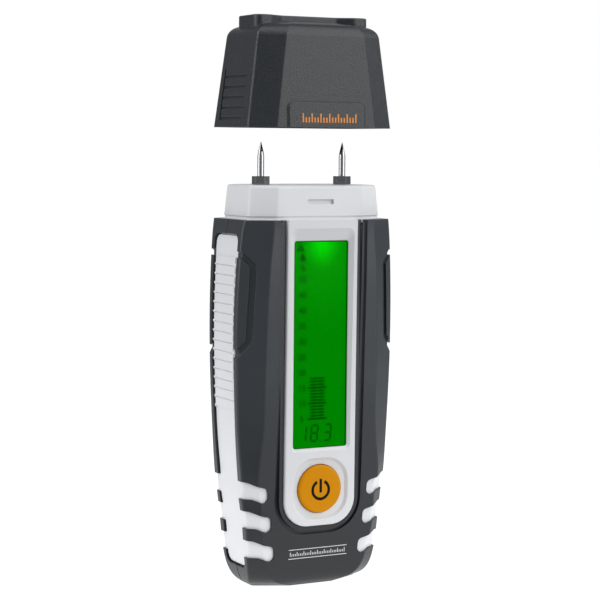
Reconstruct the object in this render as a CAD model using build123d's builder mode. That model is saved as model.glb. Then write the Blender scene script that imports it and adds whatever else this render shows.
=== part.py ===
from build123d import *

import os

# Two-pin moisture meter with a pull-off cap. Units are millimetres.
# Origin at the centre of the base, +Z up, the display faces -Y, +X is to the right of the display.
# The cap is modelled pulled up by CAP_LIFT, just clear of the needle points.

# ---------------------------------------------------------------- driving dimensions
BODY_TOP = 119.0
# height, half width of the front flat, half depth, half width, half depth of the side flat
BODY_LEVELS = (
    (0.0, 7.8, 8.6, 18.9, 3.3),
    (1.2, 11.8, 10.0, 20.6, 4.8),
    (3.2, 15.2, 11.2, 21.8, 7.0),
    (7.0, 17.5, 12.0, 22.9, 8.6),
    (13.0, 19.1, 12.5, 23.7, 9.5),
    (22.0, 20.6, 13.0, 24.5, 9.9),
    (34.0, 21.9, 13.4, 26.0, 10.0),
    (47.0, 20.9, 14.0, 27.0, 10.1),
    (61.0, 20.2, 14.6, 27.7, 10.2),
    (76.0, 20.1, 15.1, 28.2, 10.2),
    (91.0, 19.8, 15.6, 28.2, 10.3),
    (105.0, 19.1, 15.95, 27.6, 10.8),
    (BODY_TOP, 18.2, 16.2, 26.1, 11.8),
)
BOOT_HEIGHT = 8.0
BODY_CORNER = 1.2
JACKET = 1.8
SHELL_WALL = 1.5
GRIP_SINK = 0.7

HEAD_TOP = 130.0
HEAD_BASE = (115.0, 15.9, 13.3, 24.4, 9.4)
HEAD_CROWN = (HEAD_TOP, 15.1, 13.1, 22.9, 8.6)
HEAD_WALL = 1.6
HEAD_CORNER = 1.8

CAP_LIFT = 29.2
CAP_WALL = 1.1
CAP_RIM = (BODY_TOP + 0.1, 17.5, 16.8, 25.9, 12.6)
CAP_SHOULDER = (148.0, 13.9, 15.6, 22.05, 11.4)
CAP_DOME = (
    (150.4, 12.7, 14.7, 20.7, 10.7),
    (151.9, 10.0, 12.2, 16.4, 8.6),
    (152.7, 6.5, 8.5, 10.5, 6.0),
)
CAP_BLOCK_TOP = 154.7

PANEL_HALF = 12.75
PANEL_BOTTOM = 20.2
PANEL_CORNER = 8.5
PANEL_FRONT_TOP = 15.3
PANEL_FRONT_BOTTOM = 14.55
PANEL_BACK = 11.2
RING_WIDTH = 1.6
RING_STEP = 1.0
RING_FLOOR = 0.8
RING_GROOVE, RING_GROOVE_DEPTH = 1.3, 0.95
PANEL_GAP, PANEL_GAP_DEPTH = 0.25, 0.5

LCD_HALF = 9.7
LCD_LOW = 45.6
LCD_HIGH = 112.3
LENS_FRONT = 14.0
LENS_THICKNESS = 1.0

BUTTON_Z = 32.2
BUTTON_RADIUS = 7.8
BUTTON_FRONT = 15.0
BUTTON_GAP = 0.2
BUTTON_TRAVEL = 0.6

PIN_X = 14.9
PIN_TIP = 143.8
PIN_RADIUS = 1.1
HEX_TOP = 132.7
HEX_FLATS = 5.0
STUD_RADIUS = 1.5
THREAD_GAP = 0.05

CELL_RADIUS = 5.1
CELL_LENGTH = 44.0
CELL_X = 5.6
CELL_Y = 6.9
CELL_LOW = 46.0
WELL_HALF = 11.2
WELL_LOW = 41.4
WELL_HIGH = 90.6
WELL_WALL = 1.3
WELL_FLOOR = 1.5

DOOR_HALF = 12.5
DOOR_HIGH = 93.4
DOOR_GAP = 0.4
DOOR_AXIS_Y = 12.85
DOOR_AXIS_Z = 39.8
DOOR_KNUCKLE = 0.85
DOOR_PIN = 0.45

BOARD_HALF = 14.3
BOARD_LOW = 21.0
BOARD_HIGH = 115.0
BOARD_FRONT = 9.2
BOARD_THICKNESS = 1.6

# x, z and the depth of the seat under the head
SCREW_PLACES = ((17.5, 100.0, 12.9), (-17.5, 100.0, 12.9), (12.0, 14.0, 9.9), (-12.0, 14.0, 9.9))
BOSS_RADIUS = 3.0
SHANK_RADIUS = 1.1
SCREW_HEAD_RADIUS = 2.2
SCREW_HEAD_HEIGHT = 1.5
SCREW_END = 5.0

RIB_COUNT = 16
RIB_LOW = 58.4
RIB_PITCH = 3.07
RIB_GROOVE = 0.35

WIDE = 80.0
TALL = 400.0


# ---------------------------------------------------------------- shared forms
def octagon(level, grow=0.0, corner=BODY_CORNER):
    """One horizontal section: an octagon with a front, a chamfer and a side flat, softly cornered."""
    height, front_half, half_depth, half_width, side_half = level
    with BuildSketch(Plane.XY.offset(height)) as section:
        Polygon(
            (front_half, -half_depth),
            (half_width, -side_half),
            (half_width, side_half),
            (front_half, half_depth),
            (-front_half, half_depth),
            (-half_width, side_half),
            (-half_width, -side_half),
            (-front_half, -half_depth),
            align=None,
        )
        if grow:
            offset(amount=grow, kind=Kind.INTERSECTION)
        fillet(section.vertices(), corner)
    return section.sketch


def body_form(inset):
    """The body's outline, taken in by inset on its sides, its base and its top."""
    sections = []
    for height, *sizes in BODY_LEVELS:
        rise = inset * max(0.0, 1.0 - height / BOOT_HEIGHT)
        drop = inset if height == BODY_TOP else 0.0
        sections.append(octagon((height + rise - drop, *sizes), -inset))
    with BuildPart() as form:
        loft(sections)
    return form.part


def head_form(inset, top_inset):
    """The electrode head, taken in by inset on its sides and top_inset on its top."""
    base = octagon(HEAD_BASE, -inset, HEAD_CORNER)
    crown = octagon((HEAD_TOP - top_inset, *HEAD_CROWN[1:]), -inset, HEAD_CORNER)
    with BuildPart() as form:
        loft([base, crown])
    return form.part


def half_space(side):
    """A large block on the display side (side -1) or the back (side 1) of the parting plane."""
    with BuildPart() as block:
        Box(WIDE, WIDE, TALL, align=(Align.CENTER, Align.MIN if side > 0 else Align.MAX, Align.CENTER))
    return block.part


def panel_prism(grow, behind, reach):
    """The display panel's outline grown by grow, from reach in front of the axis back to behind."""
    top = BODY_TOP
    bottom = PANEL_BOTTOM - grow
    with BuildPart() as prism:
        with BuildSketch(Plane.XZ.offset(behind)) as outline:
            with Locations((0, (top + bottom) / 2)):
                Rectangle(2 * (PANEL_HALF + grow), top - bottom)
            fillet(outline.vertices().group_by(Axis.Y)[0], PANEL_CORNER + grow)
        extrude(amount=reach - behind)
    return prism.part


def panel_plane(sink):
    """The slightly leaning plane that lies sink behind the display panel's face."""
    lean = (PANEL_FRONT_TOP - PANEL_FRONT_BOTTOM) / (BODY_TOP - PANEL_BOTTOM)
    return Plane(origin=(0, sink - PANEL_FRONT_TOP, BODY_TOP), x_dir=(1, 0, 0), z_dir=(0, -1, -lean))


def side_windows():
    """The slanted side windows of both sides, as prisms that run from front to back."""
    window_tops = (35.9, 26.3, 16.6)
    window_tips = (17.85, 16.5, 15.15)
    with BuildPart() as windows:
        with BuildSketch(Plane.XZ.offset(-WIDE / 2)):
            for top, tip in zip(window_tops, window_tips):
                for side in (1, -1):
                    with BuildSketch(mode=Mode.PRIVATE) as one:
                        Polygon(
                            (side * 32.0, top + 0.6),
                            (side * (tip + 7.0), top - 0.4),
                            (side * (tip + 3.9), top - 1.7),
                            (side * (tip + 0.3), top - 2.6),
                            (side * tip, top - 8.0),
                            (side * (tip + 5.0), top - 6.1),
                            (side * 32.0, top - 5.8),
                            align=None,
                        )
                        blunt = one.vertices().sort_by(lambda v: abs(v.X))[:2]
                        fillet(blunt, 1.7)
                    add(one.sketch)
        extrude(amount=WIDE)
    return windows.part


def grip_openings(shrink):
    """The tall side openings that hold the grips, as prisms that run from side to side."""
    low, high = 6.6 + shrink, 114.5 - shrink
    with BuildPart() as openings:
        with BuildSketch(Plane.YZ.offset(-WIDE / 2)) as outline:
            Polygon(
                (shrink - 8.8, high),
                (8.8 - shrink, high),
                (6.9 - shrink, low),
                (shrink - 6.9, low),
                align=None,
            )
            fillet(outline.vertices(), 2.6)
        extrude(amount=WIDE)
        Box(2 * 16.0, WIDE, TALL, mode=Mode.SUBTRACT)
    return openings.part


def thumb_grooves():
    """A shallow channel round each thumb pad on the chamfers."""
    with BuildPart() as grooves:
        with BuildSketch(Plane.XZ.offset(-WIDE / 2)):
            for side in (1, -1):
                with BuildSketch(mode=Mode.PRIVATE) as ring:
                    Polygon(
                        (side * 34.0, 110.4),
                        (side * 26.4, 108.9),
                        (side * 22.8, 105.1),
                        (side * 23.9, 80.4),
                        (side * 28.0, 75.2),
                        (side * 34.0, 73.0),
                        align=None,
                    )
                    offset(amount=-1.9, kind=Kind.INTERSECTION, mode=Mode.SUBTRACT)
                add(ring.sketch)
        extrude(amount=WIDE)
        add(body_form(0.8), mode=Mode.SUBTRACT)
    return grooves.part


def screw_columns(radius, low_y, high_y):
    """One round column per housing screw, along Y; None stands for the seat under the head."""
    with BuildPart() as columns:
        for x, z, seat in SCREW_PLACES:
            start = seat if low_y is None else low_y
            stop = seat if high_y is None else high_y
            with BuildSketch(Plane.XZ.offset(-stop)):
                with Locations((x, z)):
                    Circle(radius)
            extrude(amount=stop - start)
    return columns.part


def insert_columns(radius, low, high):
    """One upright column per electrode."""
    with BuildPart() as columns:
        with BuildSketch(Plane.XY.offset(low)):
            with Locations((PIN_X, 0), (-PIN_X, 0)):
                Circle(radius)
        extrude(amount=high - low)
    return columns.part


def door_outline(half, low, high, depth):
    """A prism with the battery door's outline, from Y = depth outwards."""
    with BuildPart() as prism:
        with BuildSketch(Plane.XZ.offset(-WIDE / 2)):
            with Locations((0, (low + high) / 2)):
                RectangleRounded(2 * half, high - low, 2.0)
        extrude(amount=WIDE / 2 - depth)
    return prism.part


def space_before(width, sink):
    """The space round the display panel, width wider than it, in front of a plane sink behind its face."""
    with BuildPart() as space:
        add(panel_prism(width, JACKET, WIDE / 2))
        split(bisect_by=panel_plane(sink), keep=Keep.TOP)
    return space.part


def ring_plateau():
    """The low ring of rubber round the display panel."""
    with BuildPart() as plateau:
        add(panel_prism(RING_WIDTH, JACKET, PANEL_FRONT_TOP + 1.0))
        split(bisect_by=panel_plane(RING_STEP), keep=Keep.BOTTOM)
    return plateau.part


def ring_floor():
    """The front layer of that ring, which the shell below it makes room for."""
    with BuildPart() as layer:
        add(space_before(RING_WIDTH, RING_STEP + RING_FLOOR))
        add(space_before(RING_WIDTH + 1.0, RING_STEP), mode=Mode.SUBTRACT)
        add(panel_prism(0.0, JACKET, WIDE / 2), mode=Mode.SUBTRACT)
    return layer.part


def ring_groove():
    """The groove that sets the ring off from the rest of the jacket."""
    with BuildPart() as groove:
        add(panel_prism(RING_WIDTH + RING_GROOVE, JACKET, WIDE / 2))
        add(panel_prism(RING_WIDTH, 0.0, WIDE), mode=Mode.SUBTRACT)
        add(body_form(RING_GROOVE_DEPTH), mode=Mode.SUBTRACT)
    return groove.part


def common(first, second):
    """The space that two forms share."""
    with BuildPart() as shared:
        add(first)
        add(second, mode=Mode.INTERSECT)
    return shared.part


outer_form = body_form(0.0)
shell_form = body_form(JACKET)
cavity_form = body_form(JACKET + SHELL_WALL)
grip_form = body_form(GRIP_SINK)
front_half = half_space(-1)
rear_half = half_space(1)
window_prisms = side_windows()
grip_prisms = grip_openings(0.0)
door_opening_low = DOOR_AXIS_Z - DOOR_KNUCKLE - 0.5
door_opening = door_outline(DOOR_HALF + DOOR_GAP, door_opening_low, DOOR_HIGH + DOOR_GAP, 0.0)

# ---------------------------------------------------------------- rubber jackets
PARTING_GAP, PARTING_DEPTH = 0.4, 0.9

with BuildPart() as parting_groove:
    Box(WIDE, PARTING_GAP, TALL)
    add(body_form(PARTING_DEPTH), mode=Mode.SUBTRACT)

with BuildPart() as jacket:
    add(outer_form)
    add(ring_plateau())
    add(space_before(RING_WIDTH, RING_STEP), mode=Mode.SUBTRACT)
    add(ring_groove(), mode=Mode.SUBTRACT)
    add(panel_prism(0.0, JACKET, WIDE / 2), mode=Mode.SUBTRACT)
    add(shell_form, mode=Mode.SUBTRACT)
    add(head_form(0.0, 0.0), mode=Mode.SUBTRACT)
    add(ring_floor())
    add(space_before(PANEL_GAP, RING_STEP + PANEL_GAP_DEPTH), mode=Mode.SUBTRACT)
    add(window_prisms, mode=Mode.SUBTRACT)
    add(grip_prisms, mode=Mode.SUBTRACT)
    add(thumb_grooves(), mode=Mode.SUBTRACT)
    add(parting_groove.part, mode=Mode.SUBTRACT)

with BuildPart() as front_jacket:
    add(jacket.part)
    add(front_half, mode=Mode.INTERSECT)
front_jacket.part.label = "front_jacket"

with BuildPart() as rear_jacket:
    add(jacket.part)
    add(rear_half, mode=Mode.INTERSECT)
    add(door_opening, mode=Mode.SUBTRACT)
    add(screw_columns(SCREW_HEAD_RADIUS + 0.4, None, WIDE / 2), mode=Mode.SUBTRACT)
rear_jacket.part.label = "rear_jacket"

# ---------------------------------------------------------------- white shells with the electrode head
BOSS_LOW = 121.0
LIP_LOW, LIP_HIGH, LIP_DEPTH = 119.3, 120.1, 0.3
CATCH_HALF, CATCH_LOW, CATCH_HIGH, CATCH_DEPTH = 4.75, 123.9, 125.5, 0.9

with BuildPart() as lip_groove:
    with BuildSketch(Plane.XY.offset(LIP_LOW)):
        Rectangle(WIDE, WIDE)
    extrude(amount=LIP_HIGH - LIP_LOW)
    add(head_form(LIP_DEPTH, 0.0), mode=Mode.SUBTRACT)

with BuildPart() as catches:
    with BuildSketch(Plane.XZ.offset(-WIDE / 2)):
        with Locations((0, (CATCH_LOW + CATCH_HIGH) / 2)):
            RectangleRounded(2 * CATCH_HALF, CATCH_HIGH - CATCH_LOW, 0.4)
    extrude(amount=WIDE)
    add(head_form(CATCH_DEPTH, 0.0), mode=Mode.SUBTRACT)

with BuildPart() as shell:
    add(shell_form)
    add(head_form(0.0, 0.0))
    fillet(shell.faces().sort_by(Axis.Z)[-1].edges(), 1.0)
    add(catches.part, mode=Mode.SUBTRACT)
    add(lip_groove.part, mode=Mode.SUBTRACT)
    add(cavity_form, mode=Mode.SUBTRACT)
    add(head_form(HEAD_WALL, HEAD_WALL), mode=Mode.SUBTRACT)
    add(insert_columns(3.6, BOSS_LOW, HEAD_TOP - 0.5))
    add(insert_columns(2.5, BOSS_LOW, HEAD_TOP + 1.0), mode=Mode.SUBTRACT)
    add(common(screw_columns(BOSS_RADIUS, -WIDE / 2, WIDE / 2), shell_form))

with BuildPart() as front_shell:
    add(shell.part)
    add(common(panel_prism(1.4, BOARD_FRONT, WIDE / 2), shell_form))
    add(panel_prism(0.0, PANEL_BACK, WIDE / 2), mode=Mode.SUBTRACT)
    add(panel_prism(-1.5, 0.0, WIDE / 2), mode=Mode.SUBTRACT)
    add(space_before(RING_WIDTH, RING_STEP + RING_FLOOR), mode=Mode.SUBTRACT)
    add(screw_columns(SHANK_RADIUS, -SCREW_END, 1.0), mode=Mode.SUBTRACT)
    add(front_half, mode=Mode.INTERSECT)
front_shell.part.label = "front_shell"

LUG_INNER, LUG_OUTER, LUG_WIDTH, LUG_RADIUS = 4.0, 11.0, 1.0, 0.95

with BuildPart() as hinge_lugs:
    for side in (1, -1):
        for near in (LUG_INNER, LUG_OUTER):
            start = near if side > 0 else -near - LUG_WIDTH
            with BuildSketch(Plane.YZ.offset(start)):
                with Locations((DOOR_AXIS_Y, DOOR_AXIS_Z)):
                    Circle(LUG_RADIUS)
                    Rectangle(2.2, 2 * LUG_RADIUS, align=(Align.MAX, Align.CENTER))
                    Circle(DOOR_PIN + THREAD_GAP, mode=Mode.SUBTRACT)
            extrude(amount=LUG_WIDTH)

with BuildPart() as well_block:
    with BuildSketch(Plane.XZ.offset(-WIDE / 2)):
        with Locations((0, (WELL_LOW + WELL_HIGH) / 2)):
            Rectangle(2 * (WELL_HALF + WELL_WALL), WELL_HIGH - WELL_LOW + 2 * WELL_WALL)
    extrude(amount=WIDE / 2 - WELL_FLOOR + WELL_WALL)
    add(shell_form, mode=Mode.INTERSECT)

with BuildPart() as rear_shell:
    add(shell.part)
    add(well_block.part)
    with BuildSketch(Plane.XZ.offset(-WIDE / 2)):
        with Locations((0, (WELL_LOW + WELL_HIGH) / 2)):
            Rectangle(2 * WELL_HALF, WELL_HIGH - WELL_LOW)
    extrude(amount=WIDE / 2 - WELL_FLOOR, mode=Mode.SUBTRACT)
    add(screw_columns(SHANK_RADIUS + 0.1, -1.0, WIDE / 2), mode=Mode.SUBTRACT)
    add(screw_columns(SCREW_HEAD_RADIUS + 0.4, None, WIDE / 2), mode=Mode.SUBTRACT)
    add(rear_half, mode=Mode.INTERSECT)
    add(hinge_lugs.part)
rear_shell.part.label = "rear_shell"

# ---------------------------------------------------------------- ribbed side grips
RIB_RISE = 0.3
RIB_HALF = 7.0
GRIP_GAP = 0.6

with BuildPart() as rib_bars:
    with BuildSketch(Plane.YZ.offset(-WIDE / 2)):
        with Locations((0, RIB_LOW + RIB_PITCH * (RIB_COUNT - 1) / 2)):
            with GridLocations(1, RIB_PITCH, 1, RIB_COUNT):
                Rectangle(2 * RIB_HALF, RIB_PITCH - RIB_GROOVE, align=(Align.CENTER, Align.MIN))
                for end in (1, -1):
                    with Locations((end * (RIB_HALF - 0.2), 0)):
                        Polygon((0, -0.7), (end * 1.5, 0), (0, 0.7), align=None)
    extrude(amount=WIDE)

with BuildPart() as grip_ribs:
    add(body_form(GRIP_SINK - RIB_RISE))
    add(rib_bars.part, mode=Mode.INTERSECT)
    add(shell_form, mode=Mode.SUBTRACT)

with BuildPart() as both_grips:
    add(grip_openings(GRIP_GAP))
    add(window_prisms)
    add(grip_form, mode=Mode.INTERSECT)
    add(shell_form, mode=Mode.SUBTRACT)
    add(grip_ribs.part)

side_grips = {}
for side, name in ((-1, "left_side_grip"), (1, "right_side_grip")):
    with BuildPart() as side_grip:
        add(both_grips.part)
        keep_side = Keep.TOP if side > 0 else Keep.BOTTOM
        split(bisect_by=Plane.YZ, keep=keep_side)
    side_grip.part.label = name
    side_grips[name] = side_grip.part

# ---------------------------------------------------------------- display
POCKET_HALF, POCKET_LOW, POCKET_HIGH = 10.7, 43.6, 114.4
BEZEL_SLOPE_SIDE, BEZEL_SLOPE_LOW, BEZEL_SLOPE_HIGH = 1.9, 2.0, 4.4
DISH_HALF, DISH_CORNER, DISH_FLOOR = 9.3, 7.0, 13.8
FLANGE_RADIUS, FLANGE_FRONT, FLANGE_THICKNESS = 8.6, 13.0, 0.6


def window_rectangle(depth, side_extra, low_extra, high_extra, corner):
    """An upright rounded rectangle round the LCD's window at one depth."""
    width = 2 * (LCD_HALF + side_extra)
    low = LCD_LOW - low_extra
    high = LCD_HIGH + high_extra
    with BuildSketch(Plane.XZ.offset(depth)) as rectangle:
        with Locations((0, (low + high) / 2)):
            RectangleRounded(width, high - low, corner)
    return rectangle.sketch


def dish_square(depth, extra):
    """A softly cornered square round the button at one depth."""
    with BuildSketch(Plane.XZ.offset(depth)) as square:
        with Locations((0, BUTTON_Z)):
            RectangleRounded(2 * (DISH_HALF + extra), 2 * (DISH_HALF + extra), DISH_CORNER + extra)
    return square.sketch


with BuildPart() as window_recess:
    loft([
        window_rectangle(LENS_FRONT, 0.0, 0.0, 0.0, 0.8),
        window_rectangle(PANEL_FRONT_TOP + 0.1, BEZEL_SLOPE_SIDE, BEZEL_SLOPE_LOW, BEZEL_SLOPE_HIGH, 2.4),
    ])

with BuildPart() as button_dish:
    loft([dish_square(DISH_FLOOR, 0.0), dish_square(PANEL_FRONT_TOP, 1.5)])

with BuildPart() as display_panel:
    add(panel_prism(0.0, PANEL_BACK, WIDE / 2))
    split(bisect_by=panel_plane(0.0), keep=Keep.BOTTOM)
    front_edges = display_panel.faces().sort_by(Axis.Y)[0].edges()
    fillet(front_edges.sort_by(Axis.Z)[:-1], 0.5)
    add(window_recess.part, mode=Mode.SUBTRACT)
    add(button_dish.part, mode=Mode.SUBTRACT)
    with BuildSketch(Plane.XZ.offset(PANEL_BACK)):
        with Locations((0, (POCKET_LOW + POCKET_HIGH) / 2)):
            Rectangle(2 * POCKET_HALF, POCKET_HIGH - POCKET_LOW)
    extrude(amount=LENS_FRONT - PANEL_BACK, mode=Mode.SUBTRACT)
    with BuildSketch(Plane.XZ.offset(PANEL_BACK)):
        with Locations((0, BUTTON_Z)):
            Circle(FLANGE_RADIUS + 0.3)
    extrude(amount=FLANGE_FRONT + 0.1 - PANEL_BACK, mode=Mode.SUBTRACT)
    with BuildSketch(Plane.XZ.offset(PANEL_BACK)):
        with Locations((0, BUTTON_Z)):
            Circle(BUTTON_RADIUS + BUTTON_GAP)
    extrude(amount=PANEL_FRONT_TOP - PANEL_BACK, mode=Mode.SUBTRACT)
display_panel.part.label = "display_panel"


def upright_plate(half, low, high, back, thickness):
    """A flat plate that faces the display side."""
    with BuildPart() as plate:
        with BuildSketch(Plane.XZ.offset(back)):
            with Locations((0, (low + high) / 2)):
                Rectangle(2 * half, high - low)
        extrude(amount=thickness)
    return plate.part


lens_back = LENS_FRONT - LENS_THICKNESS
glass_back, glass_thickness = 11.35, 1.6
light_guide_back, light_guide_thickness = 9.3, 2.0

with BuildPart() as display_lens:
    add(upright_plate(POCKET_HALF - 0.1, POCKET_LOW + 0.1, POCKET_HIGH - 0.1, lens_back, LENS_THICKNESS))
display_lens.part.label = "display_lens"

with BuildPart() as lcd_glass:
    add(upright_plate(POCKET_HALF - 0.3, POCKET_LOW + 0.3, POCKET_HIGH - 0.3, glass_back, glass_thickness))
lcd_glass.part.label = "lcd_glass"

with BuildPart() as light_guide:
    add(upright_plate(10.2, 46.2, 112.6, light_guide_back, light_guide_thickness))
light_guide.part.label = "light_guide"

with BuildPart() as contact_strip:
    add(upright_plate(9.0, 44.2, 45.7, BOARD_FRONT, glass_back - BOARD_FRONT))
contact_strip.part.label = "contact_strip"

# ---------------------------------------------------------------- circuit board and switch
board_back = BOARD_FRONT - BOARD_THICKNESS

with BuildPart() as circuit_board:
    add(upright_plate(BOARD_HALF, BOARD_LOW, BOARD_HIGH, board_back, BOARD_THICKNESS))
    chamfer(circuit_board.edges().filter_by(Axis.Y), 1.0)
circuit_board.part.label = "circuit_board"

with BuildPart() as backlight_leds:
    with BuildSketch(Plane.XZ.offset(BOARD_FRONT)):
        with Locations((4.0, 113.6), (-4.0, 113.6)):
            Rectangle(3.0, 1.4)
    extrude(amount=1.2)
backlight_leds.part.label = "backlight_leds"

with BuildPart() as controller_chip:
    with BuildSketch(Plane.XZ.offset(board_back)):
        with Locations((0, 102.0)):
            Rectangle(9.0, 9.0)
    extrude(amount=-1.4)
    chamfer(controller_chip.faces().sort_by(Axis.Y)[-1].edges(), 0.25)
controller_chip.part.label = "controller_chip"

SWITCH_FRONT, PLUNGER_FRONT, PLUNGER_BACK = 11.0, 11.9, 10.15
PLUNGER_RADIUS, STEM_RADIUS = 1.6, 2.2

with BuildPart() as switch_body:
    with BuildSketch(Plane.XZ.offset(BOARD_FRONT)):
        with Locations((0, BUTTON_Z)):
            Rectangle(6.2, 6.2)
    extrude(amount=SWITCH_FRONT - BOARD_FRONT)
    with BuildSketch(Plane.XZ.offset(PLUNGER_BACK - BUTTON_TRAVEL - 0.1)):
        with Locations((0, BUTTON_Z)):
            Circle(PLUNGER_RADIUS + THREAD_GAP)
    extrude(amount=2.0, mode=Mode.SUBTRACT)
switch_body.part.label = "switch_body"

with BuildPart() as switch_plunger:
    with BuildSketch(Plane.XZ.offset(PLUNGER_BACK)):
        with Locations((0, BUTTON_Z)):
            Circle(PLUNGER_RADIUS)
    extrude(amount=PLUNGER_FRONT - PLUNGER_BACK)
switch_plunger.part.label = "switch_plunger"

with BuildPart() as power_button:
    with BuildSketch(Plane.XZ.offset(FLANGE_FRONT)):
        with Locations((0, BUTTON_Z)):
            Circle(BUTTON_RADIUS)
    extrude(amount=BUTTON_FRONT - FLANGE_FRONT)
    fillet(power_button.edges().sort_by(Axis.Y)[0], 0.9)
    with BuildSketch(Plane.XZ.offset(FLANGE_FRONT - FLANGE_THICKNESS)):
        with Locations((0, BUTTON_Z)):
            Circle(FLANGE_RADIUS)
    extrude(amount=FLANGE_THICKNESS)
    with BuildSketch(Plane.XZ.offset(PLUNGER_FRONT + 0.05)):
        with Locations((0, BUTTON_Z)):
            Circle(STEM_RADIUS)
    extrude(amount=1.0)
power_button.part.label = "power_button"

# ---------------------------------------------------------------- electrodes
SEAT = HEAD_TOP + 0.05
LEAD_NEAR, LEAD_FAR, LEAD_THICKNESS = 12.6, 14.4, 0.4


def electrode(side):
    """A steel needle with its hexagon and threaded stud."""
    x = side * PIN_X
    with BuildPart() as needle:
        with BuildSketch(Plane(origin=(x, 0, 0), x_dir=(1, 0, 0), z_dir=(0, -1, 0))):
            Polygon(
                (0.0, 122.5),
                (STUD_RADIUS - 0.3, 122.5),
                (STUD_RADIUS, 122.8),
                (STUD_RADIUS, SEAT + 0.5),
                (PIN_RADIUS, SEAT + 0.5),
                (PIN_RADIUS, 139.0),
                (1.03, 139.8),
                (0.88, 140.6),
                (0.69, 141.4),
                (0.49, 142.2),
                (0.27, 143.0),
                (0.07, PIN_TIP - 0.1),
                (0.0, PIN_TIP),
                align=None,
            )
        revolve(axis=Axis((x, 0, 0), (0, 0, 1)))
        with BuildSketch(Plane(origin=(x, 0, SEAT))):
            RegularPolygon(HEX_FLATS / 2, 6, major_radius=False, rotation=30)
        extrude(amount=HEX_TOP - SEAT)
    return needle.part


def insert(side):
    """A round brass insert that the stud screws into."""
    with BuildPart() as sleeve:
        with BuildSketch(Plane(origin=(side * PIN_X, 0, BOSS_LOW))):
            Circle(2.5)
            Circle(STUD_RADIUS + THREAD_GAP, mode=Mode.SUBTRACT)
        extrude(amount=HEAD_TOP - BOSS_LOW)
    return sleeve.part


def lead(side):
    """A flat spring contact from the insert down to the circuit board."""
    y_board = -(board_back - LEAD_THICKNESS / 2)
    z_insert = BOSS_LOW - LEAD_THICKNESS / 2
    start = LEAD_NEAR if side > 0 else -LEAD_FAR
    with BuildPart() as strip:
        with BuildSketch(Plane.YZ.offset(start)):
            with BuildLine():
                FilletPolyline(
                    (1.8, z_insert),
                    (-3.6, z_insert),
                    (y_board, 114.0),
                    (y_board, 109.0),
                    radius=1.2,
                )
            trace(line_width=LEAD_THICKNESS)
        extrude(amount=LEAD_FAR - LEAD_NEAR)
    return strip.part


electrode_parts = {}
for side, name in ((-1, "left"), (1, "right")):
    for kind, maker in (("electrode", electrode), ("insert", insert), ("lead", lead)):
        piece = maker(side)
        piece.label = name + "_" + kind
        electrode_parts[piece.label] = piece

# ---------------------------------------------------------------- batteries and contacts
PLATE_THICKNESS = 0.4
SPRING_RADIUS, SPRING_WIRE, SPRING_TURNS = 2.6, 0.3, 3


def battery(side):
    """One AAA cell, its positive end up."""
    with BuildPart() as cell:
        with BuildSketch(Plane(origin=(side * CELL_X, CELL_Y, CELL_LOW))):
            Circle(CELL_RADIUS)
        extrude(amount=CELL_LENGTH - 1.0)
        fillet(cell.edges().filter_by(GeomType.CIRCLE), 0.4)
        with BuildSketch(Plane(origin=(side * CELL_X, CELL_Y, CELL_LOW + CELL_LENGTH - 1.5))):
            Circle(1.9)
        extrude(amount=1.5)
    return cell.part


batteries = {}
for side, name in ((-1, "left_battery"), (1, "right_battery")):
    cell_part = battery(side)
    cell_part.label = name
    batteries[name] = cell_part

spring_low = WELL_LOW + PLATE_THICKNESS + SPRING_WIRE
spring_pitch = (CELL_LOW - spring_low - SPRING_WIRE - 0.05) / SPRING_TURNS

with BuildPart() as battery_springs:
    for side in (-1, 1):
        centre = Vector(side * CELL_X, CELL_Y, spring_low)
        with BuildLine() as coil:
            Helix(spring_pitch, spring_pitch * SPRING_TURNS, SPRING_RADIUS, center=tuple(centre))
        with BuildSketch(Plane(coil.line @ 0, z_dir=coil.line % 0)):
            Circle(SPRING_WIRE)
        sweep(path=coil.line)
battery_springs.part.label = "battery_springs"

with BuildPart() as battery_contacts:
    for base in (WELL_LOW, WELL_HIGH - PLATE_THICKNESS):
        with Locations((0, CELL_Y, base)):
            Box(2 * (WELL_HALF - 1.2), 7.0, PLATE_THICKNESS, align=(Align.CENTER, Align.CENTER, Align.MIN))
battery_contacts.part.label = "battery_contacts"

# ---------------------------------------------------------------- battery door
KNUCKLE_NEAR, KNUCKLE_FAR = 5.25, 10.75
door_low = DOOR_AXIS_Z + 1.15

with BuildPart() as battery_door:
    add(outer_form)
    add(body_form(JACKET - 0.1), mode=Mode.SUBTRACT)
    add(door_outline(DOOR_HALF, door_low, DOOR_HIGH, 1.0), mode=Mode.INTERSECT)
    with BuildSketch(Plane.XZ.offset(-WIDE / 2)):
        with GridLocations(1, 2.4, 1, 5):
            with Locations((0, 84.0)):
                SlotOverall(13.0, 1.1)
    extrude(amount=WIDE / 2 - 14.9, mode=Mode.SUBTRACT)
    for side in (1, -1):
        start = KNUCKLE_NEAR if side > 0 else -KNUCKLE_FAR
        with BuildSketch(Plane.YZ.offset(start)):
            with Locations((DOOR_AXIS_Y, DOOR_AXIS_Z)):
                Circle(DOOR_KNUCKLE)
                Rectangle(1.2, door_low - DOOR_AXIS_Z + 0.4, align=(Align.CENTER, Align.MIN))
        extrude(amount=KNUCKLE_FAR - KNUCKLE_NEAR)
        with BuildSketch(Plane.YZ.offset(start - 1.2)):
            with Locations((DOOR_AXIS_Y, DOOR_AXIS_Z)):
                Circle(DOOR_PIN)
        extrude(amount=KNUCKLE_FAR - KNUCKLE_NEAR + 2.4)
battery_door.part.label = "battery_door"

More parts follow.
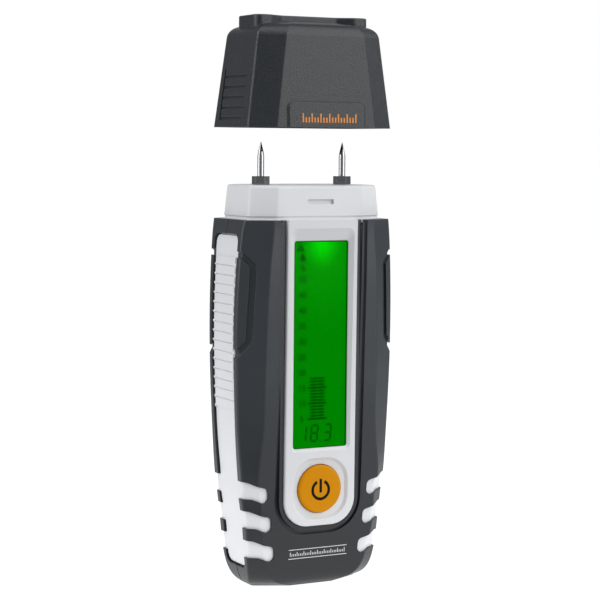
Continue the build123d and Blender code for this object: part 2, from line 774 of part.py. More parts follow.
# ---------------------------------------------------------------- housing screws
with BuildPart() as housing_screws:
    for x, z, seat in SCREW_PLACES:
        with BuildSketch(Plane.XZ.offset(-seat)):
            with Locations((x, z)):
                Circle(SHANK_RADIUS)
        extrude(amount=seat + SCREW_END - 0.2)
        with BuildSketch(Plane.XZ.offset(-seat - SCREW_HEAD_HEIGHT)):
            with Locations((x, z)):
                Circle(SCREW_HEAD_RADIUS)
        extrude(amount=SCREW_HEAD_HEIGHT)
        with BuildSketch(Plane.XZ.offset(-seat - SCREW_HEAD_HEIGHT)):
            with Locations((x, z)):
                Rectangle(2.6, 0.5)
                Rectangle(0.5, 2.6)
        extrude(amount=0.8, mode=Mode.SUBTRACT)
housing_screws.part.label = "housing_screws"

# ---------------------------------------------------------------- cap
TAB_HALF, TAB_HIGH, TAB_RISE, TAB_BEVEL = 13.9, 127.4, 0.7, 0.5
SLOT_LOW, SLOT_COUNT, SLOT_HEIGHT, SLOT_PITCH, SLOT_DEPTH = 121.5, 5, 0.9, 3.3, 0.5
SLOT_FRONT, SLOT_BACK, SLOT_RISE = 7.6, 9.0, 3.0
BLOCK_HALF, BLOCK_DEPTH, WAIST_DEPTH = 20.4, 7.2, 4.4
WAIST_HALF, POST_NEAR = 9.8, 15.2
CAP_ROOF = 147.0


def lifted(level, new_height=None):
    """A cap level at its pulled-up height."""
    height, *sizes = level
    return (CAP_LIFT + (height if new_height is None else new_height), *sizes)


def cap_form(grow, top=CAP_SHOULDER[0]):
    """The cap's tapered wall, grown by grow, up to top."""
    with BuildPart() as form:
        loft([octagon(lifted(CAP_RIM), grow), octagon(lifted(CAP_SHOULDER, top), grow)])
    return form.part


with BuildPart() as label_tab:
    with BuildSketch(Plane.XZ) as tab_outline:
        with Locations((0, CAP_LIFT + CAP_RIM[0])):
            Rectangle(2 * TAB_HALF, TAB_HIGH - CAP_RIM[0], align=(Align.CENTER, Align.MIN))
        fillet(tab_outline.vertices().group_by(Axis.Y)[-1], 2.0)
    extrude(amount=WIDE / 2)
    add(cap_form(TAB_RISE), mode=Mode.INTERSECT)
    tab_edges = label_tab.faces().sort_by(Axis.Y)[0].edges()
    chamfer(tab_edges.sort_by(Axis.Z)[1:], TAB_BEVEL)

with BuildPart() as cap_slots:
    with BuildSketch(Plane.YZ.offset(-WIDE / 2)):
        for index in range(SLOT_COUNT):
            with Locations((SLOT_BACK, CAP_LIFT + SLOT_LOW + index * SLOT_PITCH)):
                Rectangle(SLOT_BACK + SLOT_FRONT, SLOT_HEIGHT, align=(Align.MAX, Align.MIN))
        with Locations((SLOT_BACK, CAP_LIFT + SLOT_LOW)):
            upright = SLOT_PITCH * (SLOT_COUNT - 1) + SLOT_RISE
            Rectangle(SLOT_HEIGHT, upright, align=(Align.MAX, Align.MIN))
    extrude(amount=WIDE)
    add(cap_form(-SLOT_DEPTH), mode=Mode.SUBTRACT)

with BuildPart() as cap_shell:
    add(cap_form(0.0))
    loft([octagon(lifted(CAP_SHOULDER))] + [octagon(lifted(level)) for level in CAP_DOME])
    add(label_tab.part)
    add(cap_slots.part, mode=Mode.SUBTRACT)
    with BuildSketch(Plane.XY.offset(CAP_LIFT + CAP_ROOF)) as block_outline:
        Polygon(
            (WAIST_HALF, -WAIST_DEPTH),
            (POST_NEAR, -BLOCK_DEPTH),
            (BLOCK_HALF, -BLOCK_DEPTH),
            (BLOCK_HALF, BLOCK_DEPTH),
            (POST_NEAR, BLOCK_DEPTH),
            (WAIST_HALF, WAIST_DEPTH),
            (-WAIST_HALF, WAIST_DEPTH),
            (-POST_NEAR, BLOCK_DEPTH),
            (-BLOCK_HALF, BLOCK_DEPTH),
            (-BLOCK_HALF, -BLOCK_DEPTH),
            (-POST_NEAR, -BLOCK_DEPTH),
            (-WAIST_HALF, -WAIST_DEPTH),
            align=None,
        )
        fillet(block_outline.vertices(), 2.4)
    extrude(amount=CAP_BLOCK_TOP - CAP_ROOF)
    fillet(cap_shell.faces().sort_by(Axis.Z)[-1].edges(), 0.5)
    loft([octagon(lifted(CAP_RIM), -CAP_WALL), octagon(lifted(CAP_SHOULDER, CAP_ROOF), -CAP_WALL)],
         mode=Mode.SUBTRACT)
cap_shell.part.label = "cap_shell"

# ---------------------------------------------------------------- files
pieces = [
    front_jacket.part,
    rear_jacket.part,
    front_shell.part,
    rear_shell.part,
    display_panel.part,
    display_lens.part,
    lcd_glass.part,
    light_guide.part,
    contact_strip.part,
    circuit_board.part,
    backlight_leds.part,
    controller_chip.part,
    switch_body.part,
    switch_plunger.part,
    power_button.part,
    battery_springs.part,
    battery_contacts.part,
    battery_door.part,
    housing_screws.part,
    cap_shell.part,
    *side_grips.values(),
    *electrode_parts.values(),
    *batteries.values(),
]
os.makedirs("parts", exist_ok=True)
for piece in pieces:
    export_step(piece, "parts/" + piece.label + ".step")
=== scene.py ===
"""Two-pin moisture meter: finishes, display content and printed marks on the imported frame."""

from math import atan2, cos, pi, radians, sin

import bmesh
import bpy
from mathutils import Matrix, Vector
from mathutils.bvhtree import BVHTree


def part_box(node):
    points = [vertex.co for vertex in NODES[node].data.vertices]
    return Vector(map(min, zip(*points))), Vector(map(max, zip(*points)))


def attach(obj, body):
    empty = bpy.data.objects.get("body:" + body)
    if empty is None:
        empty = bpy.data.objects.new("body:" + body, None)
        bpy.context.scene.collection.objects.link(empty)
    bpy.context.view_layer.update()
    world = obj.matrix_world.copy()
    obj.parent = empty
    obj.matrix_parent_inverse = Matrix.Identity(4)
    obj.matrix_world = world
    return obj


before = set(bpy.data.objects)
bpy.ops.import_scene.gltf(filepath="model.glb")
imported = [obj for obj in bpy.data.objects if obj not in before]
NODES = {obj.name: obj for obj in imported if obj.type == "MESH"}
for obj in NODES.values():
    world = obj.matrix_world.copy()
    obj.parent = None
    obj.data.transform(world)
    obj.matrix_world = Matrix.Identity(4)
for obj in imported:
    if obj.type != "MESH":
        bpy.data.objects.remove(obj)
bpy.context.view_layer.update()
MM = 0.001


# ---------------------------------------------------------------- node helpers
def new_material(name, color, roughness, metallic=0.0):
    """A material with one Principled shader; returns it with its node tree and shader."""
    material = bpy.data.materials.new(name)
    material.use_nodes = True
    tree = material.node_tree
    shader = tree.nodes["Principled BSDF"]
    shader.inputs["Base Color"].default_value = (*color, 1.0)
    shader.inputs["Roughness"].default_value = roughness
    shader.inputs["Metallic"].default_value = metallic
    return material, tree, shader


def object_coordinates(tree):
    return tree.nodes.new("ShaderNodeTexCoord").outputs["Object"]


def noise(tree, scale, detail=3.0, roughness=0.6):
    """Noise from 0 to 1; scale is the number of grains per metre."""
    node = tree.nodes.new("ShaderNodeTexNoise")
    node.inputs["Scale"].default_value = scale
    node.inputs["Detail"].default_value = detail
    node.inputs["Roughness"].default_value = roughness
    tree.links.new(object_coordinates(tree), node.inputs["Vector"])
    return node.outputs["Fac"]


def spread(tree, value, low, high):
    """Maps a 0 to 1 value to low to high."""
    node = tree.nodes.new("ShaderNodeMapRange")
    node.inputs["To Min"].default_value = low
    node.inputs["To Max"].default_value = high
    tree.links.new(value, node.inputs["Value"])
    return node.outputs["Result"]


def ramp_of(tree, value, low, high, kind="LINEAR"):
    """0 where the value is low and 1 where it is high."""
    node = tree.nodes.new("ShaderNodeMapRange")
    node.interpolation_type = kind
    node.inputs["From Min"].default_value = low
    node.inputs["From Max"].default_value = high
    tree.links.new(value, node.inputs["Value"])
    return node.outputs["Result"]


def vector_step(tree, operation, value, other=None):
    """One vector operation on a socket, with a fixed second vector where it needs one."""
    node = tree.nodes.new("ShaderNodeVectorMath")
    node.operation = operation
    tree.links.new(value, node.inputs[0])
    if other is not None:
        node.inputs[1].default_value = other
    return node


def height_mask(tree, low, high):
    """0 below the height low and 1 above high, in metres."""
    place = tree.nodes.new("ShaderNodeSeparateXYZ")
    tree.links.new(object_coordinates(tree), place.inputs["Vector"])
    return ramp_of(tree, place.outputs["Z"], low, high)


def mix_colors(tree, factor, first, second):
    """Mixes two colours, each a tuple or a socket, by a factor socket."""
    node = tree.nodes.new("ShaderNodeMix")
    node.data_type = "RGBA"
    tree.links.new(factor, node.inputs["Factor"])
    for key, color in (("A", first), ("B", second)):
        socket = [s for s in node.inputs if s.name == key and s.type == "RGBA"][0]
        if isinstance(color, tuple):
            socket.default_value = (*color, 1.0)
        else:
            tree.links.new(color, socket)
    return [s for s in node.outputs if s.type == "RGBA"][0]


def soft_edges(tree, radius):
    """A normal that rounds every edge by radius."""
    node = tree.nodes.new("ShaderNodeBevel")
    node.samples = 6
    node.inputs["Radius"].default_value = radius
    return node.outputs["Normal"]


def edge_mask(tree, normal):
    """1 on the rounded edges and 0 on the flats."""
    geometry = tree.nodes.new("ShaderNodeNewGeometry")
    dot = vector_step(tree, "DOT_PRODUCT", geometry.outputs["Normal"])
    tree.links.new(normal, dot.inputs[1])
    return ramp_of(tree, dot.outputs["Value"], 0.995, 0.80)


def bump(tree, height, distance, strength, normal=None):
    """A normal roughened by a height socket, on top of another normal where one is given."""
    node = tree.nodes.new("ShaderNodeBump")
    node.inputs["Distance"].default_value = distance
    node.inputs["Strength"].default_value = strength
    tree.links.new(height, node.inputs["Height"])
    if normal is not None:
        tree.links.new(normal, node.inputs["Normal"])
    return node.outputs["Normal"]


def moulded(name, color, roughness, grain, depth, edge=0.25 * MM, edge_highlight=0.0, mottle=0.12, strength=0.5):
    """Moulded plastic or rubber: fine grain, slight mottling, softly rounded edges with a painted highlight
    along them.

    grain is the number of grains per metre, and depth is how deep they are.
    """
    material, tree, shader = new_material(name, color, roughness)
    rounded = soft_edges(tree, edge)
    darker = tuple(c * (1.0 - mottle) for c in color)
    lighter = tuple(min(1.0, c * (1.0 + mottle)) for c in color)
    tone = mix_colors(tree, noise(tree, 180.0, 4.0), darker, lighter)
    # painted highlight: the colour is lightened along the rounded edges
    if edge_highlight:
        highlight_tone = tuple(min(1.0, c + edge_highlight) for c in color)
        tone = mix_colors(tree, edge_mask(tree, rounded), tone, highlight_tone)
    tree.links.new(tone, shader.inputs["Base Color"])
    patches = spread(tree, noise(tree, 900.0), roughness - 0.06, roughness + 0.06)
    tree.links.new(patches, shader.inputs["Roughness"])
    tree.links.new(bump(tree, noise(tree, grain), depth, strength, rounded), shader.inputs["Normal"])
    return material, tree, shader


# ---------------------------------------------------------------- materials
def jacket_rubber():
    """Rubber with painted shade: its colour darkens towards the foot."""
    material, tree, shader = moulded(
        "jacket_rubber", (0.028, 0.035, 0.042), 0.36, grain=3000.0, depth=0.05 * MM,
        edge=0.30 * MM, edge_highlight=0.020,
    )
    upper = shader.inputs["Base Color"].links[0].from_socket
    # painted shade: the base colour darkens towards the foot
    tone = mix_colors(tree, height_mask(tree, 14.0 * MM, 70.0 * MM), (0.003, 0.005, 0.008), upper)
    tree.links.new(tone, shader.inputs["Base Color"])
    shader.inputs["Specular IOR Level"].default_value = 0.55
    return material


def cap_plastic():
    material, _, shader = moulded(
        "cap_plastic", (0.0105, 0.0150, 0.0195), 0.36, grain=2000.0, depth=0.15 * MM,
        edge=0.30 * MM, edge_highlight=0.020, mottle=0.20, strength=1.0,
    )
    shader.inputs["Specular IOR Level"].default_value = 0.65
    return material


def white_plastic(name, color):
    return moulded(
        name, color, 0.38, grain=4200.0, depth=0.01 * MM, edge_highlight=0.10, mottle=0.012, strength=0.25
    )[0]


def button_plastic():
    material, _, shader = moulded(
        "button_plastic", (0.62, 0.245, 0.0010), 0.48, grain=4800.0, depth=0.012 * MM,
        edge=0.35 * MM, mottle=0.04, strength=0.3,
    )
    shader.inputs["Specular IOR Level"].default_value = 0.08
    return material


def clear_window():
    material, _, shader = new_material("clear_window", (1.0, 1.0, 1.0), 0.02)
    shader.inputs["Transmission Weight"].default_value = 1.0
    shader.inputs["IOR"].default_value = 1.05
    shader.inputs["Specular IOR Level"].default_value = 0.0
    return material


def glowing(name, color, roughness):
    """A dark material without gloss that gives off light; returns it with its node tree and shader."""
    material, tree, shader = new_material(name, color, roughness)
    shader.inputs["Emission Strength"].default_value = 1.0
    shader.inputs["Specular IOR Level"].default_value = 0.0
    return material, tree, shader


def display_glow():
    """Green backlight: a bright spot under the lamps at the top, and a wide soft one round it."""
    material, tree, shader = glowing("display_glow", (0.0, 0.01, 0.0), 0.35)
    lamp_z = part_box("lcd_glass")[1].z - 1.0 * MM
    from_lamp = tree.nodes.new("ShaderNodeMapping")
    from_lamp.inputs["Location"].default_value = (-0.8 * MM, 0.0, -lamp_z)
    tree.links.new(object_coordinates(tree), from_lamp.inputs["Vector"])
    flattened = vector_step(tree, "MULTIPLY", from_lamp.outputs["Vector"], (1.25, 0.0, 0.9))
    distance = vector_step(tree, "LENGTH", flattened.outputs["Vector"]).outputs["Value"]
    glow = (0.0, 0.216, 0.0)
    for reach, color in ((30.0 * MM, (0.0, 0.30, 0.0)), (9.5 * MM, (0.0, 0.78, 0.0))):
        glow = mix_colors(tree, ramp_of(tree, distance, reach, 0.0, "SMOOTHSTEP"), glow, color)
    tree.links.new(glow, shader.inputs["Emission Color"])
    return material


def display_ink():
    """The display's dark segments, with some of the backlight coming through."""
    material, tree, shader = glowing("display_ink", (0.0, 0.005, 0.0), 0.6)
    tone = mix_colors(tree, noise(tree, 900.0), (0.0, 0.052, 0.0), (0.0, 0.078, 0.0))
    tree.links.new(tone, shader.inputs["Emission Color"])
    return material


def printed_ink(name, color, gloss=0.5):
    """Printed ink, a little uneven."""
    material, tree, shader = new_material(name, color, 0.45)
    shader.inputs["Specular IOR Level"].default_value = gloss
    tone = mix_colors(tree, noise(tree, 2600.0), tuple(c * 0.86 for c in color), color)
    tree.links.new(tone, shader.inputs["Base Color"])
    tree.links.new(bump(tree, noise(tree, 5200.0), 0.01 * MM, 0.3), shader.inputs["Normal"])
    return material


def polished_metal(name, color, roughness, brushing=0.25):
    """Turned or plated metal with fine turning marks; returns it with its node tree and shader."""
    material, tree, shader = new_material(name, color, roughness, 1.0)
    stretch = tree.nodes.new("ShaderNodeMapping")
    stretch.inputs["Scale"].default_value = (600.0, 600.0, 9000.0)
    tree.links.new(object_coordinates(tree), stretch.inputs["Vector"])
    marks = tree.nodes.new("ShaderNodeTexNoise")
    marks.inputs["Scale"].default_value = 1.0
    tree.links.new(stretch.outputs["Vector"], marks.inputs["Vector"])
    lines = marks.outputs["Fac"]
    rounded = soft_edges(tree, 0.12 * MM)
    tree.links.new(bump(tree, lines, 0.004 * MM, brushing, rounded), shader.inputs["Normal"])
    tree.links.new(spread(tree, lines, roughness * 0.7, roughness * 1.4), shader.inputs["Roughness"])
    return material, tree, shader


def electrode_metal():
    """Bright needle above a darker hexagon, which stands 2.75 mm above its insert."""
    bright, dark = (0.50, 0.505, 0.515), (0.33, 0.335, 0.345)
    material, tree, shader = polished_metal("needle_steel", bright, 0.14)
    hexagon_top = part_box("left_insert")[1].z + 2.75 * MM
    tone = mix_colors(tree, height_mask(tree, hexagon_top, hexagon_top + 0.05 * MM), dark, bright)
    tree.links.new(tone, shader.inputs["Base Color"])
    return material


def board_mask():
    """Green solder mask with tracks."""
    material, tree, shader = new_material("board_mask", (0.01, 0.12, 0.05), 0.3)
    tracks = tree.nodes.new("ShaderNodeTexBrick")
    tracks.inputs["Scale"].default_value = 260.0
    tracks.inputs["Color1"].default_value = (0.01, 0.13, 0.05, 1.0)
    tracks.inputs["Color2"].default_value = (0.012, 0.15, 0.06, 1.0)
    tracks.inputs["Mortar"].default_value = (0.03, 0.24, 0.09, 1.0)
    tree.links.new(object_coordinates(tree), tracks.inputs["Vector"])
    tree.links.new(tracks.outputs["Color"], shader.inputs["Base Color"])
    return material


def battery_sleeve():
    """Dark printed sleeve with a copper-coloured upper band."""
    sleeve, copper = (0.02, 0.02, 0.025), (0.55, 0.25, 0.06)
    material, tree, shader = new_material("battery_sleeve", sleeve, 0.3)
    low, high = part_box("left_battery")
    place = tree.nodes.new("ShaderNodeSeparateXYZ")
    tree.links.new(object_coordinates(tree), place.inputs["Vector"])
    band = tree.nodes.new("ShaderNodeMath")
    band.operation = "GREATER_THAN"
    band.inputs[1].default_value = low.z + 0.72 * (high.z - low.z)
    tree.links.new(place.outputs["Z"], band.inputs[0])
    tone = mix_colors(tree, band.outputs["Value"], sleeve, copper)
    tree.links.new(tone, shader.inputs["Base Color"])
    return material


def dress(material, *names):
    """Gives CAD nodes a finish."""
    for name in names:
        for place in NODES[name].material_slots:
            place.material = material


# ---------------------------------------------------------------- mesh helpers
def finish_piece(name, mesh_builder, material, body):
    """Turns a bmesh into a piece that rides on a body."""
    bmesh.ops.recalc_face_normals(mesh_builder, faces=mesh_builder.faces)
    mesh = bpy.data.meshes.new(name)
    mesh_builder.to_mesh(mesh)
    mesh_builder.free()
    mesh.materials.append(material)
    piece = bpy.data.objects.new(name, mesh)
    bpy.context.scene.collection.objects.link(piece)
    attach(piece, body)


def add_block(builder, centre, size, shear=0.0, pivot_z=0.0, bevel=0.0):
    """A small block in a flat mark; shear leans it along X with height above pivot_z."""
    made = bmesh.ops.create_cube(builder, size=1.0)
    points = made["verts"]
    bmesh.ops.scale(builder, vec=size, verts=points)
    if bevel:
        edges = {edge for point in points for edge in point.link_edges}
        deep = [e for e in edges if abs((e.verts[0].co - e.verts[1].co).normalized().y) > 0.9]
        rounded = bmesh.ops.bevel(
            builder, geom=deep, offset=bevel, affect="EDGES", segments=2, profile=0.5, material=-1
        )
        corners = {v for f in rounded["faces"] for v in f.verts} | {v for v in points if v.is_valid}
        points = list({v for corner in corners for f in corner.link_faces for v in f.verts})
    bmesh.ops.translate(builder, vec=centre, verts=points)
    for point in points:
        point.co.x += shear * (point.co.z - pivot_z)


def surface_of(name):
    """A ray-cast tree of a CAD node."""
    builder = bmesh.new()
    builder.from_mesh(NODES[name].data)
    tree = BVHTree.FromBMesh(builder)
    builder.free()
    return tree


def lay_on(builder, tree):
    """Moves every vertex along Y on to the display side of a surface, keeping its own depth."""
    start_y = -0.1
    for point in builder.verts:
        hit = tree.ray_cast(Vector((point.co.x, start_y, point.co.z)), Vector((0, 1, 0)))[0]
        if hit is not None:
            point.co.y += hit.y


# ---------------------------------------------------------------- display content
MARK = 0.02 * MM  # thickness of a display mark
SCALE_START = 54.9 * MM  # height of the scale's lowest number, a 5
NUMBER_STEP = 5.0 * MM
NUMBER_X = -6.1 * MM
BAR_STEP = 1.008 * MM
BAR_X = -0.5 * MM

# each segment's place in half widths and heights of the digit, and which way it lies
SEGMENTS = {
    "top": (0.0, 1.0, "flat"),
    "middle": (0.0, 0.5, "flat"),
    "bottom": (0.0, 0.0, "flat"),
    "upper_left": (-0.5, 0.75, "upright"),
    "upper_right": (0.5, 0.75, "upright"),
    "lower_left": (-0.5, 0.25, "upright"),
    "lower_right": (0.5, 0.25, "upright"),
}
LIT = {
    "1": ("upper_right", "lower_right"),
    "8": tuple(SEGMENTS),
    "3": ("top", "middle", "bottom", "upper_right", "lower_right"),
}


def display_digits(front, ink):
    """The reading 18.3 in leaning seven-segment digits."""
    width, height, stroke, lean = 2.3 * MM, 5.2 * MM, 0.6 * MM, 0.09
    base = 47.6 * MM
    builder = bmesh.new()
    for character, centre_x in (("1", -5.9), ("8", -1.7), ("3", 3.1)):
        for name in LIT[character]:
            across, up, kind = SEGMENTS[name]
            if kind == "flat":
                size = (width - stroke * 0.7, MARK, stroke)
            else:
                size = (stroke, MARK, height / 2 - stroke * 0.7)
            centre = (centre_x * MM + across * width, front, base + up * height)
            add_block(builder, centre, size, lean, base, stroke * 0.4)
    add_block(builder, (0.75 * MM, front, base), (0.6 * MM, MARK, 0.6 * MM), bevel=0.15 * MM)
    finish_piece("lcd_digits", builder, ink, "housing")


def display_bars(front, ink):
    """The bar graph from 5 to 18, a longer bar at each fifth."""
    long_bar = (6.8 * MM, MARK, 0.66 * MM)
    short_bar = (5.3 * MM, MARK, 0.52 * MM)
    upright = (0.35 * MM, MARK, 13.2 * MM)
    builder = bmesh.new()
    for value in range(5, 19):
        size = short_bar if value % 5 else long_bar
        add_block(builder, (BAR_X, front, SCALE_START + (value - 5) * BAR_STEP), size)
    for side in (-1, 1):
        add_block(builder, (BAR_X + side * 1.3 * MM, front, 61.4 * MM), upright)
    finish_piece("lcd_bars", builder, ink, "housing")


def words_mesh(builder, words, size, centre_x, centre_z, front):
    """Adds a line of text, standing upright and facing the display side."""
    curve = bpy.data.curves.new("words", "FONT")
    curve.body = words
    curve.size = size
    curve.align_x = "CENTER"
    curve.align_y = "CENTER"
    curve.offset = 0.025 * size
    holder = bpy.data.objects.new("words", curve)
    bpy.context.scene.collection.objects.link(holder)
    bpy.context.view_layer.update()
    mesh = bpy.data.meshes.new_from_object(holder.evaluated_get(bpy.context.evaluated_depsgraph_get()))
    bpy.data.objects.remove(holder)
    mesh.transform(Matrix.Translation((centre_x, front, centre_z)) @ Matrix.Rotation(pi / 2, 4, "X"))
    builder.from_mesh(mesh)
    bpy.data.meshes.remove(mesh)


def display_scale(front, ink):
    """The numbers 5 to 50 beside the bar graph, and the unit sign."""
    builder = bmesh.new()
    for step in range(10):
        words_mesh(builder, str(5 + step * 5), 2.75 * MM, NUMBER_X, SCALE_START + step * NUMBER_STEP, front)
    words_mesh(builder, "%", 3.0 * MM, NUMBER_X, 103.5 * MM, front)
    finish_piece("lcd_scale", builder, ink, "housing")


def drop_shape(builder, centre, radius, height, thickness):
    """A water drop: a disc whose top is drawn up to a point."""
    made = bmesh.ops.create_circle(builder, cap_ends=True, segments=28, radius=radius)
    points = made["verts"]
    for point in points:
        angle = atan2(point.co.y, point.co.x)
        rise = max(0.0, sin(angle))
        point.co.x *= 1.0 - 0.75 * rise ** 3
        point.co.y += (height - 2 * radius) * rise ** 4
    bmesh.ops.rotate(builder, matrix=Matrix.Rotation(pi / 2, 3, "X"), verts=points)
    bmesh.ops.translate(builder, vec=centre, verts=points)
    faces = list({f for p in points for f in p.link_faces})
    grown = bmesh.ops.extrude_face_region(builder, geom=faces)
    moved = [g for g in grown["geom"] if isinstance(g, bmesh.types.BMVert)]
    bmesh.ops.translate(builder, vec=(0, -thickness, 0), verts=moved)


def display_drop(front, ink):
    """The moisture sign above the scale."""
    builder = bmesh.new()
    drop_shape(builder, (-6.2 * MM, front, 106.7 * MM), 1.05 * MM, 3.1 * MM, MARK)
    finish_piece("lcd_drop", builder, ink, "housing")


def display_pointer(front, ink):
    """A small open triangle at the top of the scale."""
    builder = bmesh.new()
    made = bmesh.ops.create_circle(builder, cap_ends=True, segments=3, radius=1.75 * MM)
    middle = made["verts"][0].link_faces[0]
    bmesh.ops.inset_region(
        builder, faces=[middle], thickness=0.62 * MM, use_boundary=True, use_even_offset=True
    )
    bmesh.ops.delete(builder, geom=[middle], context="FACES_ONLY")
    bmesh.ops.rotate(builder, matrix=Matrix.Rotation(pi / 2, 3, "X"), verts=builder.verts)
    bmesh.ops.translate(builder, vec=(-7.0 * MM, front, 109.9 * MM), verts=builder.verts)
    finish_piece("lcd_pointer", builder, ink, "housing")


def display_edge(ink):
    """The dark rim that shows inside the window, widest on its right."""
    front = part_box("display_lens")[0].y
    left, right, low, high = -9.7 * MM, 9.7 * MM, 45.6 * MM, 112.3 * MM
    rims = (
        (left, left + 0.25 * MM, low, high),
        (right - 0.55 * MM, right, low, high),
        (left, right, low, low + 0.25 * MM),
        (left, right, high - 0.35 * MM, high),
    )
    builder = bmesh.new()
    for x_low, x_high, z_low, z_high in rims:
        centre = ((x_low + x_high) / 2, front, (z_low + z_high) / 2)
        add_block(builder, centre, (x_high - x_low, MARK, z_high - z_low))
    finish_piece("lcd_edge", builder, ink, "housing")


# ---------------------------------------------------------------- printed marks
PRINT = 0.03 * MM  # thickness of printed ink


def power_mark(ink):
    """Ring with a gap at the top and a short upright bar, printed on the button."""
    low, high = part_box("power_button")
    centre = Vector(((low.x + high.x) / 2, low.y, (low.z + high.z) / 2 - 0.25 * MM))
    radius, stroke, gap = 2.95 * MM, 0.95 * MM, radians(27.0)
    across = Vector((sin(gap), 0.0, cos(gap)))
    rise = Vector((0, 0.03 * MM, 0))
    builder = bmesh.new()
    inner, outer = across * (radius - stroke / 2), across * (radius + stroke / 2)
    corners = (inner + rise, outer + rise, outer - rise, inner - rise)
    points = [builder.verts.new(corner) for corner in corners]
    section = builder.faces.new(points)
    bmesh.ops.spin(
        builder,
        geom=[section, *section.edges, *points],
        cent=(0, 0, 0),
        axis=(0, 1, 0),
        angle=2 * pi - 2 * gap,
        steps=40,
        use_duplicate=False,
    )
    bmesh.ops.translate(builder, vec=centre, verts=builder.verts)
    add_block(builder, centre + Vector((0, 0, 1.35 * MM)), (0.9 * MM, 0.06 * MM, 4.5 * MM), bevel=0.2 * MM)
    finish_piece("power_mark", builder, ink, "button")


def boot_marks(ink):
    """Two thin lines with a plain tick scale between them, printed on the rubber below the button."""
    start, length, pieces = -10.1 * MM, 21.3 * MM, 24
    foot, tick_start, tick_step = 10.35 * MM, -9.5 * MM, 0.62 * MM
    builder = bmesh.new()
    for z in (12.5 * MM, 9.55 * MM):
        for index in range(pieces):
            x = start + length * (index + 0.5) / pieces
            add_block(builder, (x, 0, z), (length / pieces, PRINT, 0.22 * MM))
    for index in range(33):
        height = (0.8 if index % 4 else 1.35) * MM
        add_block(builder, (tick_start + index * tick_step, 0, foot + height / 2), (0.24 * MM, PRINT, height))
    bmesh.ops.remove_doubles(builder, verts=builder.verts, dist=0.002 * MM)
    lay_on(builder, surface_of("front_jacket"))
    finish_piece("boot_marks", builder, ink, "housing")


def cap_marks(ink):
    """A plain tick scale on the cap's label tab."""
    tick_start, tick_step = -8.7 * MM, 1.05 * MM
    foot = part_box("cap_shell")[0].z + 1.6 * MM
    builder = bmesh.new()
    for index in range(19):
        height = (1.6 if index % 3 else 2.8) * MM
        add_block(builder, (tick_start + index * tick_step, 0, foot + height / 2), (0.46 * MM, PRINT, height))
    lay_on(builder, surface_of("cap_shell"))
    finish_piece("cap_marks", builder, ink, "cap")


# ---------------------------------------------------------------- stage
BACKWARD = (0.463, 0.886, 0.0)  # level direction from the camera to the meter
FRONT_TO_METER = (0.2843, 0.5430, 0.0)  # from the floor below the camera to the meter


def studio_floor():
    """A wide pale sweep that glows by itself, a painted pool of light: brightest under and behind the meter,
    and fading to its front and sides.
    """
    builder = bmesh.new()
    bmesh.ops.create_circle(builder, cap_ends=True, segments=64, radius=12.0)
    mesh = bpy.data.meshes.new("floor")
    builder.to_mesh(mesh)
    builder.free()
    material, tree, shader = new_material("pale_floor", (0.22, 0.22, 0.22), 0.8)
    place = object_coordinates(tree)
    depth = vector_step(tree, "DOT_PRODUCT", place, BACKWARD).outputs["Value"]
    from_front = vector_step(tree, "ADD", place, FRONT_TO_METER).outputs["Vector"]
    way = vector_step(tree, "NORMALIZE", from_front).outputs["Vector"]
    straightness = vector_step(tree, "DOT_PRODUCT", way, BACKWARD).outputs["Value"]
    painted_glow = tree.nodes.new("ShaderNodeMath")
    painted_glow.operation = "MULTIPLY"
    tree.links.new(ramp_of(tree, depth, -0.14, -0.030, "SMOOTHERSTEP"), painted_glow.inputs[0])
    tree.links.new(ramp_of(tree, straightness, 0.90, 0.982, "SMOOTHERSTEP"), painted_glow.inputs[1])
    # painted light: the floor glows by itself, brightest under and behind the meter
    tone = mix_colors(tree, painted_glow.outputs["Value"], (0.17, 0.17, 0.175), (0.97, 0.97, 0.97))
    tree.links.new(tone, shader.inputs["Emission Color"])
    shader.inputs["Emission Strength"].default_value = 1.0
    shader.inputs["Specular IOR Level"].default_value = 0.0
    mesh.materials.append(material)
    floor = bpy.data.objects.new("floor", mesh)
    bpy.context.scene.collection.objects.link(floor)


def studio_light(name, azimuth, elevation, distance, size, power):
    """A soft box that faces the middle of the meter. Azimuth 0 is in front, 90 to the right."""
    target = Vector((0, 0, 0.08))
    turn, rise = radians(azimuth), radians(elevation)
    way = Vector((sin(turn) * cos(rise), -cos(turn) * cos(rise), sin(rise)))
    lamp = bpy.data.lights.new(name, "AREA")
    lamp.shape = "RECTANGLE"
    lamp.size, lamp.size_y = size
    lamp.energy = power
    holder = bpy.data.objects.new(name, lamp)
    holder.location = target + way * distance
    holder.rotation_euler = way.to_track_quat("Z", "Y").to_euler()
    bpy.context.scene.collection.objects.link(holder)


def studio_world():
    """Pale surroundings, brightest behind the meter."""
    world = bpy.data.worlds.new("studio")
    bpy.context.scene.world = world
    world.use_nodes = True
    tree = world.node_tree
    tree.nodes["Background"].inputs["Strength"].default_value = 1.0
    place = tree.nodes.new("ShaderNodeTexCoord").outputs["Generated"]
    toward = vector_step(tree, "DOT_PRODUCT", place, BACKWARD).outputs["Value"]
    tone = mix_colors(tree, ramp_of(tree, toward, 0.82, 0.97), (0.22, 0.222, 0.228), (1.0, 1.0, 1.0))
    tree.links.new(tone, tree.nodes["Background"].inputs["Color"])


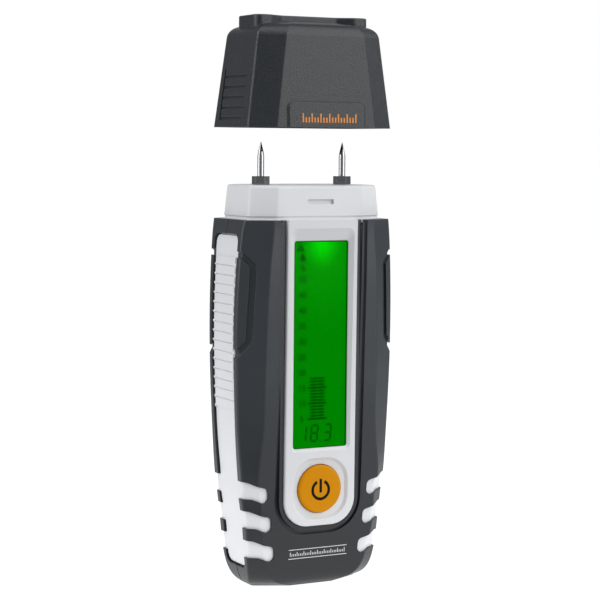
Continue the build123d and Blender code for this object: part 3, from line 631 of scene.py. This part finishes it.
def studio_camera():
    """Level with the top of the needles, to the left of the display's front, looking slightly down."""
    stand, turn, pitch, roll = radians(27.632), radians(27.610), radians(4.696), radians(0.4746)
    distance, height = 0.61289, 0.1426
    right = Vector((cos(turn), -sin(turn), 0))
    ahead = Vector((sin(turn) * cos(pitch), cos(turn) * cos(pitch), -sin(pitch)))
    up = right.cross(ahead)
    leaning_right = right * cos(roll) + up * sin(roll)
    leaning_up = up * cos(roll) - right * sin(roll)
    lens = bpy.data.cameras.new("camera")
    lens.lens = 112.8
    lens.sensor_width = 36.0
    lens.clip_start = 0.01
    lens.clip_end = 20.0
    camera = bpy.data.objects.new("camera", lens)
    placing = Matrix((leaning_right, leaning_up, -ahead)).transposed().to_4x4()
    placing.translation = Vector((-distance * sin(stand), -distance * cos(stand), height))
    camera.matrix_world = placing
    bpy.context.scene.collection.objects.link(camera)
    bpy.context.scene.camera = camera


studio_camera()
studio_floor()
studio_world()
studio_light("key", 34.0, 22.0, 1.1, (1.0, 1.2), 7.9)
studio_light("left_fill", -98.0, 25.0, 1.1, (0.7, 1.2), 6.8)
studio_light("right_rim", 76.0, 38.0, 1.0, (0.3, 0.9), 1.7)
studio_light("overhead", -20.0, 72.0, 1.3, (1.3, 1.0), 6.4)
bpy.context.scene.view_settings.view_transform = "Standard"

dress(jacket_rubber(), "front_jacket", "rear_jacket")
dress(cap_plastic(), "cap_shell", "battery_door")
white = white_plastic("white_plastic", (0.76, 0.775, 0.795))
dress(white, "front_shell", "rear_shell", "left_side_grip", "right_side_grip")
# painted shade: the display panel gets a darker copy of the white plastic
dress(white_plastic("panel_plastic_painted_shade", (0.695, 0.705, 0.725)), "display_panel")
dress(button_plastic(), "power_button")
dress(clear_window(), "display_lens")
dress(display_glow(), "lcd_glass")
plated = polished_metal("plated_spring_steel", (0.78, 0.77, 0.74), 0.25)[0]
brass = polished_metal("turned_brass", (0.72, 0.50, 0.20), 0.25)[0]
dress(electrode_metal(), "left_electrode", "right_electrode")
dress(plated, "battery_springs", "battery_contacts", "left_lead", "right_lead", "housing_screws")
dress(brass, "left_insert", "right_insert")
dress(board_mask(), "circuit_board")
dress(battery_sleeve(), "left_battery", "right_battery")
fine = 0.01 * MM
black_moulding = moulded("black_moulding", (0.015, 0.015, 0.016), 0.4, grain=5200.0, depth=fine)[0]
clear_moulding = moulded("light_guide", (0.75, 0.85, 0.75), 0.3, grain=3000.0, depth=fine)[0]
lamp_resin = moulded("lamp_resin", (0.85, 0.82, 0.55), 0.2, grain=3000.0, depth=fine)[0]
dress(black_moulding, "controller_chip", "switch_body", "contact_strip")
dress(clear_moulding, "light_guide", "switch_plunger")
dress(lamp_resin, "backlight_leds")

glass_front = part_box("lcd_glass")[0].y - MARK
ink = display_ink()
display_digits(glass_front, ink)
display_bars(glass_front, ink)
display_scale(glass_front, ink)
display_drop(glass_front, ink)
display_pointer(glass_front, ink)
display_edge(ink)
power_mark(printed_ink("black_print", (0.004, 0.004, 0.004), 0.1))
boot_marks(printed_ink("white_print", (0.75, 0.76, 0.78)))
cap_marks(printed_ink("amber_print", (0.90, 0.29, 0.01)))
